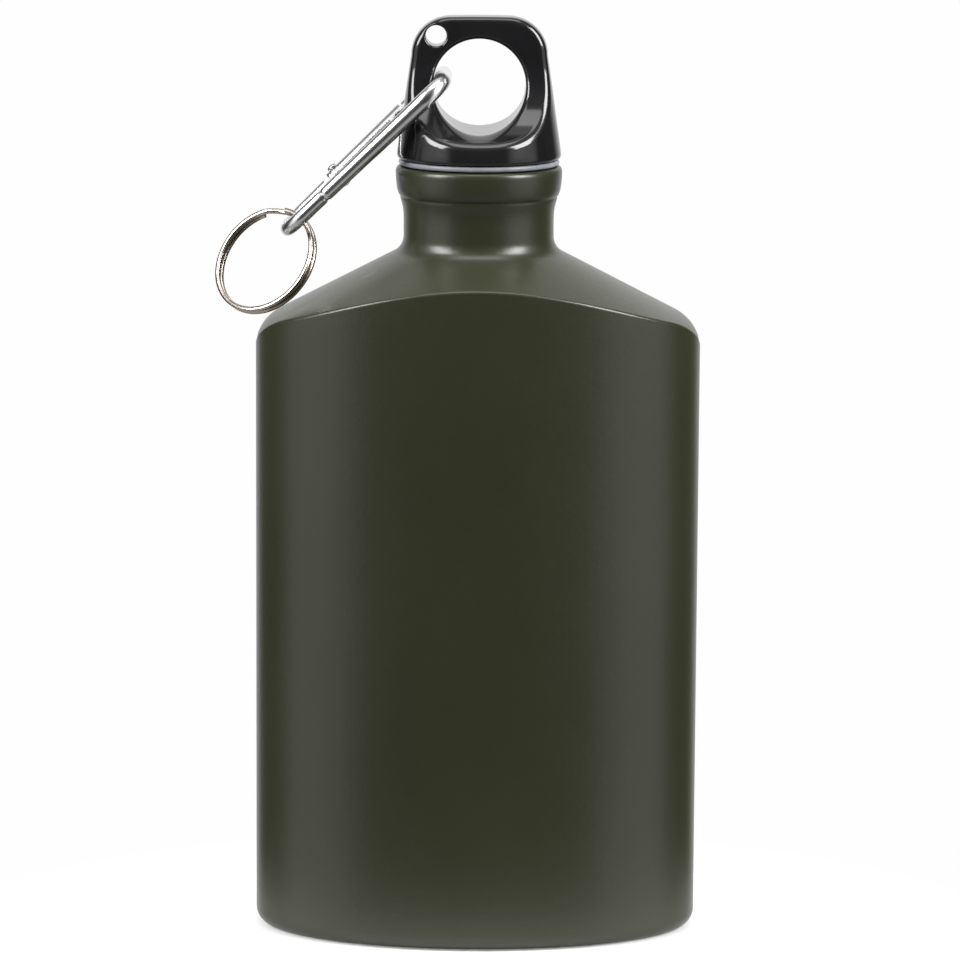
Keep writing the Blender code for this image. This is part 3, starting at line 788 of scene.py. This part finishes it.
def build_carabiner():
    nose = gate_axis(gate_len - 3.0)
    top_right = gate_axis(gate_len + 12.6)
    end = gate_axis(1.5)
    corners = [nose, (0.0, top_right[1]), (0.0, SPINE_T + 0.2), (LENGTH, -6.6), (LENGTH, 5.2), end]
    path = rounded(corners, [5.4, 5.4, 5.6, 5.0], 3.0)
    # even spacing along the wire
    pts = np.array(path)
    seg = np.hypot(*np.diff(pts, axis=0).T)
    dist = np.concatenate([[0], np.cumsum(seg)])
    want = np.arange(0, dist[-1], 0.28)
    want = np.append(want, dist[-1])
    s = np.interp(want, dist, pts[:, 0])
    t = np.interp(want, dist, pts[:, 1])
    ds, dt = np.gradient(s), np.gradient(t)
    for _ in range(2):
        ds[1:-1] = (ds[:-2] + 2 * ds[1:-1] + ds[2:]) / 4
        dt[1:-1] = (dt[:-2] + 2 * dt[1:-1] + dt[2:]) / 4
    ln = np.hypot(ds, dt)
    ds, dt = ds / ln, dt / ln
    radius = WIRE_TOP + (WIRE_LOW - WIRE_TOP) * np.clip((s - 8.0) / 30.0, 0, 1)
    on_spine = t < -3.0
    pinch = np.where(on_spine, np.exp(-(((s - 35.9) / 0.42) ** 2)), 0.0)
    radius = radius - 0.28 * pinch
    centres = np.stack([s, t, np.zeros_like(s)], 1)
    side = np.stack([-dt, ds, np.zeros_like(s)], 1)
    up = np.tile([0.0, 0.0, 1.0], (len(s), 1))
    obj = sweep("carabiner_wire", centres, side, up, circle_section(40), ALLOY, scale=radius)
    place(obj, CARABINER)
    tools = []
    for sign in (1.0, -1.0):
        lo, hi = sorted((sign * TONGUE_HALF, sign * 4.0))
        tools.append(box_tool((gate_len - 3.6, -4.0, lo), (gate_len + 0.45, 4.0, hi), GATE))
        tools.append(box_tool((-3.5, -3.0, lo), (3.5, 3.0, hi), GATE))
    tools.append(box_tool((gate_len - LATCH_BACK - 0.8, -1.0, -3.0), (gate_len - LATCH_BACK + 0.8, 4.0, 3.0), GATE))
    tools.append(rod_tool(RIVET_R + 0.12, 6.0, GATE))
    return cut(obj, tools)


def build_gate():
    prof = rounded(
        [(0.0, -GATE_TAIL), (GATE_R, -GATE_TAIL), (GATE_R, gate_len), (0.0, gate_len)], [0.45, 0.35], 15)
    prof = [(max(r, 0.0), z) for r, z in prof]
    prof = [prof[0]] + [p for p in prof[1:-1]] + [prof[-1]]
    obj = lathe("carabiner_gate_tube", prof, ALLOY_GATE, 72, sharp=38)
    turn = Matrix.Rotation(math.pi / 2, 4, "Y")
    place(obj, GATE @ turn)
    tools = [
        rod_tool(1.3, 14.0, GATE @ Matrix.Translation((8.0 * MM, 0, 0)) @ turn),
        box_tool((-4.0, -4.0, -SLOT_HALF), (2.6, 4.0, SLOT_HALF), GATE),
        box_tool((gate_len - 4.0, -4.0, -SLOT_HALF), (gate_len + 2.0, 4.0, SLOT_HALF), GATE),
        rod_tool(RIVET_R + 0.12, 8.0, GATE),
        rod_tool(LATCH_R + 0.12, 8.0, GATE @ Matrix.Translation(((gate_len - LATCH_BACK) * MM, 0, 0))),
    ]
    return cut(obj, tools)


def build_small_parts():
    reach = GATE_R + 0.12
    dome = [(0.0, reach + 0.72)] + [(1.12 * math.sin(u), reach + 0.14 + 0.58 * math.cos(u)) for u in np.linspace(0.25, math.pi / 2, 9)] + [(1.06, reach), (RIVET_R, reach - 0.02)]
    prof = dome + [(r, -z) for r, z in reversed(dome)]
    rivet = place(lathe("hinge_rivet", prof, STEEL, 64, sharp=40), GATE)
    half = GATE_R - 0.25
    prof = [(0.0, half), (LATCH_R - 0.1, half), (LATCH_R, half - 0.1), (LATCH_R, -half + 0.1), (LATCH_R - 0.1, -half), (0.0, -half)]
    latch = place(lathe("latch_pin", prof, STEEL, 40, sharp=40), GATE @ Matrix.Translation(((gate_len - LATCH_BACK) * MM, 0, 0)))
    turn = Matrix.Rotation(math.pi / 2, 4, "Y")
    prof = [(0.0, -1.5)] + [(1.0 * math.sin(u), -1.15 - 0.35 * math.cos(u)) for u in np.linspace(0.3, math.pi / 2, 7)] + [(1.0, 1.4), (0.9, 1.5), (0.0, 1.5)]
    plunger = place(lathe("gate_plunger", prof, STEEL, 48, sharp=40), GATE @ Matrix.Translation((3.35 * MM, 0, 0)) @ turn)
    turns, steps, rise = 7, 40, 8.8
    i = np.arange(turns * steps + 1)
    a = TAU * i / steps
    c = np.stack([0.82 * np.cos(a), 0.82 * np.sin(a), rise * i / (turns * steps)], 1)
    side = np.stack([np.cos(a), np.sin(a), np.zeros_like(a)], 1)
    tangent = np.stack([-0.82 * np.sin(a), 0.82 * np.cos(a), np.full_like(a, rise / turns / TAU)], 1)
    tangent /= np.linalg.norm(tangent, axis=1)[:, None]
    spring = sweep("gate_coil_spring", c, side, np.cross(tangent, side), np.array(circle_section(14)) * 0.2, SPRING_STEEL)
    place(spring, GATE @ Matrix.Translation((5.4 * MM, 0, 0)) @ turn)
    return rivet, latch, plunger, spring


def build_ring():
    """Split ring: nearly two turns of flattened wire with one jog, cut square at both ends."""
    radius, wire, step_n, lean = 12.05, 0.56, 1.26, 0.70
    bend = Vector(CARABINER_AT) + along_s * LENGTH
    m = -along_s
    q = (through_n * lean - across_t * math.sqrt(1 - lean**2)).normalized()
    k = m.cross(q)
    centre = bend - m * 8.4 + q * 2.5
    count = 560
    i = np.arange(count + 1)
    travelled = 690.0 * i / count
    f = np.clip((travelled - 330.0) / 30.0, 0, 1)
    lift = step_n * (f * f * (3 - 2 * f) - 0.5)
    ang = np.radians(-30.0 + travelled)
    m, q, k, centre = (np.array(v) for v in (m, q, k, centre))
    radial = np.cos(ang)[:, None] * m + np.sin(ang)[:, None] * q
    c = centre + radial * radius + lift[:, None] * k
    tangent = np.gradient(c, axis=0)
    tangent /= np.linalg.norm(tangent, axis=1)[:, None]
    up = np.cross(tangent, radial)
    h, e = wire, 0.40
    corner = []
    for cx, cy, a0 in ((h - e, h - e, 0), (-h + e, h - e, 90), (-h + e, -h + e, 180), (h - e, -h + e, 270)):
        for d in (0, 30, 60, 90):
            corner.append((cx + e * math.cos(math.radians(a0 + d)), cy + e * math.sin(math.radians(a0 + d))))
    return sweep("key_ring", c, radial, up, corner, NICKEL, sharp=42)


# ------------------------------------------------------------------ put the object together
def fit(obj, body, nodes):
    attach(obj, body)
    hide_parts(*nodes)
    return obj


fit(build_bottle(), "bottle", ["bottle_body"])
fit(build_gasket(), "seal", ["cap_gasket"])
fit(build_cap(), "cap", ["cap_shell"])
fit(build_plug(), "cap", ["cap_plug"])
fit(build_carabiner(), "carabiner", ["carabiner_body"])
fit(build_gate(), "gate", ["carabiner_gate"])
rivet, latch, plunger, spring = build_small_parts()
fit(rivet, "carabiner", ["gate_hinge_pin"])
fit(latch, "gate", ["gate_latch_pin"])
fit(plunger, "gate", ["spring_plunger"])
fit(spring, "gate", ["gate_spring"])
fit(build_ring(), "ring", ["split_ring"])


# ------------------------------------------------------------------ floor
def build_floor():
    """Pale table under the canteen that melts into the white surround."""
    mat, t, s = new_material("pale_floor")
    co = object_coords(t)
    col = ramp(t, noise(t, co, 6.0, 3.0), [(0.3, grey(0.88)), (0.7, grey(0.90))])
    t.links.new(col.outputs[0], s.inputs["Base Color"])
    s.inputs["Roughness"].default_value = 0.75
    s.inputs["Specular IOR Level"].default_value = 0.2
    length = t.nodes.new("ShaderNodeVectorMath")
    length.operation = "LENGTH"
    t.links.new(object_coords(t, (0.72, 1.0, 1.0)), length.inputs[0])
    fade = ramp(t, maths(t, "MULTIPLY", length.outputs["Value"], 4.0), [(0.13, grey(0.75)), (0.36, grey(0.0))])
    fade.color_ramp.interpolation = "EASE"
    t.links.new(fade.outputs[0], s.inputs["Alpha"])
    verts = [(-400, -400, 0), (400, -400, 0), (400, 400, 0), (-400, 400, 0)]
    floor = mesh_from("floor", verts, [(0, 1, 2, 3)], mat, smooth=False)
    floor.location.z = -0.00005


build_floor()


# ------------------------------------------------------------------ light
def area(name, azimuth, elevation, distance, width, height, power, target=(0.0, 0.0, 0.10), colour=(1.0, 1.0, 1.0)):
    """A softbox seen from the object at this azimuth (0 = front, + to the right) and elevation."""
    light = bpy.data.lights.new(name, "AREA")
    light.shape = "RECTANGLE"
    light.size, light.size_y = width, height
    light.energy = power
    light.color = colour
    obj = bpy.data.objects.new(name, light)
    scene.collection.objects.link(obj)
    a, e = math.radians(azimuth), math.radians(elevation)
    where = Vector(target) + distance * Vector((math.sin(a) * math.cos(e), -math.cos(a) * math.cos(e), math.sin(e)))
    obj.location = where
    obj.rotation_euler = (Vector(target) - where).to_track_quat("-Z", "Y").to_euler()
    return obj


area("softbox_left", -63, 33, 1.0, 0.40, 0.60, 12.8)
area("softbox_right", 64, 33, 1.0, 0.40, 0.60, 14.6)
area("overhead", 0, 80, 1.1, 0.8, 0.5, 5.0)


def build_world():
    """White studio sweep behind the object, dim room in front, low glow beside it from the softboxes."""
    world = bpy.data.worlds.new("studio")
    scene.world = world
    world.use_nodes = True
    t = world.node_tree
    t.nodes.clear()
    out = t.nodes.new("ShaderNodeOutputWorld")
    tc = t.nodes.new("ShaderNodeTexCoord")
    sep = t.nodes.new("ShaderNodeSeparateXYZ")
    t.links.new(tc.outputs["Generated"], sep.inputs[0])
    x, y, z = sep.outputs
    flat = maths(t, "SQRT", maths(t, "ADD", maths(t, "ADD", maths(t, "MULTIPLY", x, x), maths(t, "MULTIPLY", y, y)), 1e-5))
    toward = maths(t, "DIVIDE", maths(t, "SUBTRACT", maths(t, "MULTIPLY", maths(t, "ABSOLUTE", x), math.sin(math.radians(66))),
                                      maths(t, "MULTIPLY", y, math.cos(math.radians(66)))), flat)
    side = ramp(t, toward, [(0.895, grey(0.0)), (0.955, grey(1.0))])
    low = ramp(t, maths(t, "MULTIPLY_ADD", z, 0.5, 0.5), [(0.22, grey(0.0)), (0.34, grey(1.0)), (0.58, grey(1.0)), (0.66, grey(0.25))])
    glow = maths(t, "MULTIPLY", maths(t, "MULTIPLY", side.outputs[0], low.outputs[0]), 0.92)
    behind = maths(t, "MULTIPLY_ADD", maths(t, "DIVIDE", y, flat), 0.5, 0.5)
    back = ramp(t, behind, [(0.20, grey(0.025)), (0.50, grey(0.02)), (0.84, grey(0.04)), (0.96, grey(1.0))])
    high = ramp(t, z, [(0.45, grey(0.0)), (0.9, grey(1.0))])
    sky = mix_colour(t, maths(t, "MULTIPLY", high.outputs[0], 0.4), back.outputs[0], (0.7, 0.7, 0.7))
    ground = ramp(t, maths(t, "MULTIPLY_ADD", z, 0.5, 0.5), [(0.20, grey(1.0)), (0.32, grey(0.0))])
    colour = mix_colour(t, ground.outputs[0], sky, (0.4, 0.4, 0.4))
    both = maths(t, "ADD", colour, glow)
    studio = t.nodes.new("ShaderNodeBackground")
    t.links.new(both, studio.inputs["Color"])
    studio.inputs["Strength"].default_value = 1.0
    plain = t.nodes.new("ShaderNodeBackground")
    plain.inputs["Color"].default_value = (0.99, 0.99, 0.99, 1.0)
    path = t.nodes.new("ShaderNodeLightPath")
    mixer = t.nodes.new("ShaderNodeMixShader")
    t.links.new(path.outputs["Is Camera Ray"], mixer.inputs[0])
    t.links.new(studio.outputs[0], mixer.inputs[1])
    t.links.new(plain.outputs[0], mixer.inputs[2])
    t.links.new(mixer.outputs[0], out.inputs["Surface"])


build_world()
scene.view_settings.view_transform = "Standard"
scene.view_settings.look = "None"
scene.view_settings.exposure = 0.0

# ------------------------------------------------------------------ camera
pitch, roll = 0.1672415, 0.0057166
forward = Vector((0.0, math.cos(pitch), -math.sin(pitch)))
level_up = Vector((0.0, math.sin(pitch), math.cos(pitch)))
right = Vector((1.0, 0.0, 0.0)) * math.cos(roll) + level_up * math.sin(roll)
up = level_up * math.cos(roll) - Vector((1.0, 0.0, 0.0)) * math.sin(roll)
cam_data = bpy.data.cameras.new("camera")
cam_data.sensor_width = 36.0
cam_data.lens = 200.91
cam_data.clip_start = 0.05
cam_data.clip_end = 20.0
camera = bpy.data.objects.new("camera", cam_data)
scene.collection.objects.link(camera)
pose = Matrix((right, up, -forward)).transposed().to_4x4()
pose.translation = Vector((0.00062, -1.17077, 0.29806))
camera.matrix_world = pose
scene.camera = camera

bpy.context.view_layer.update()
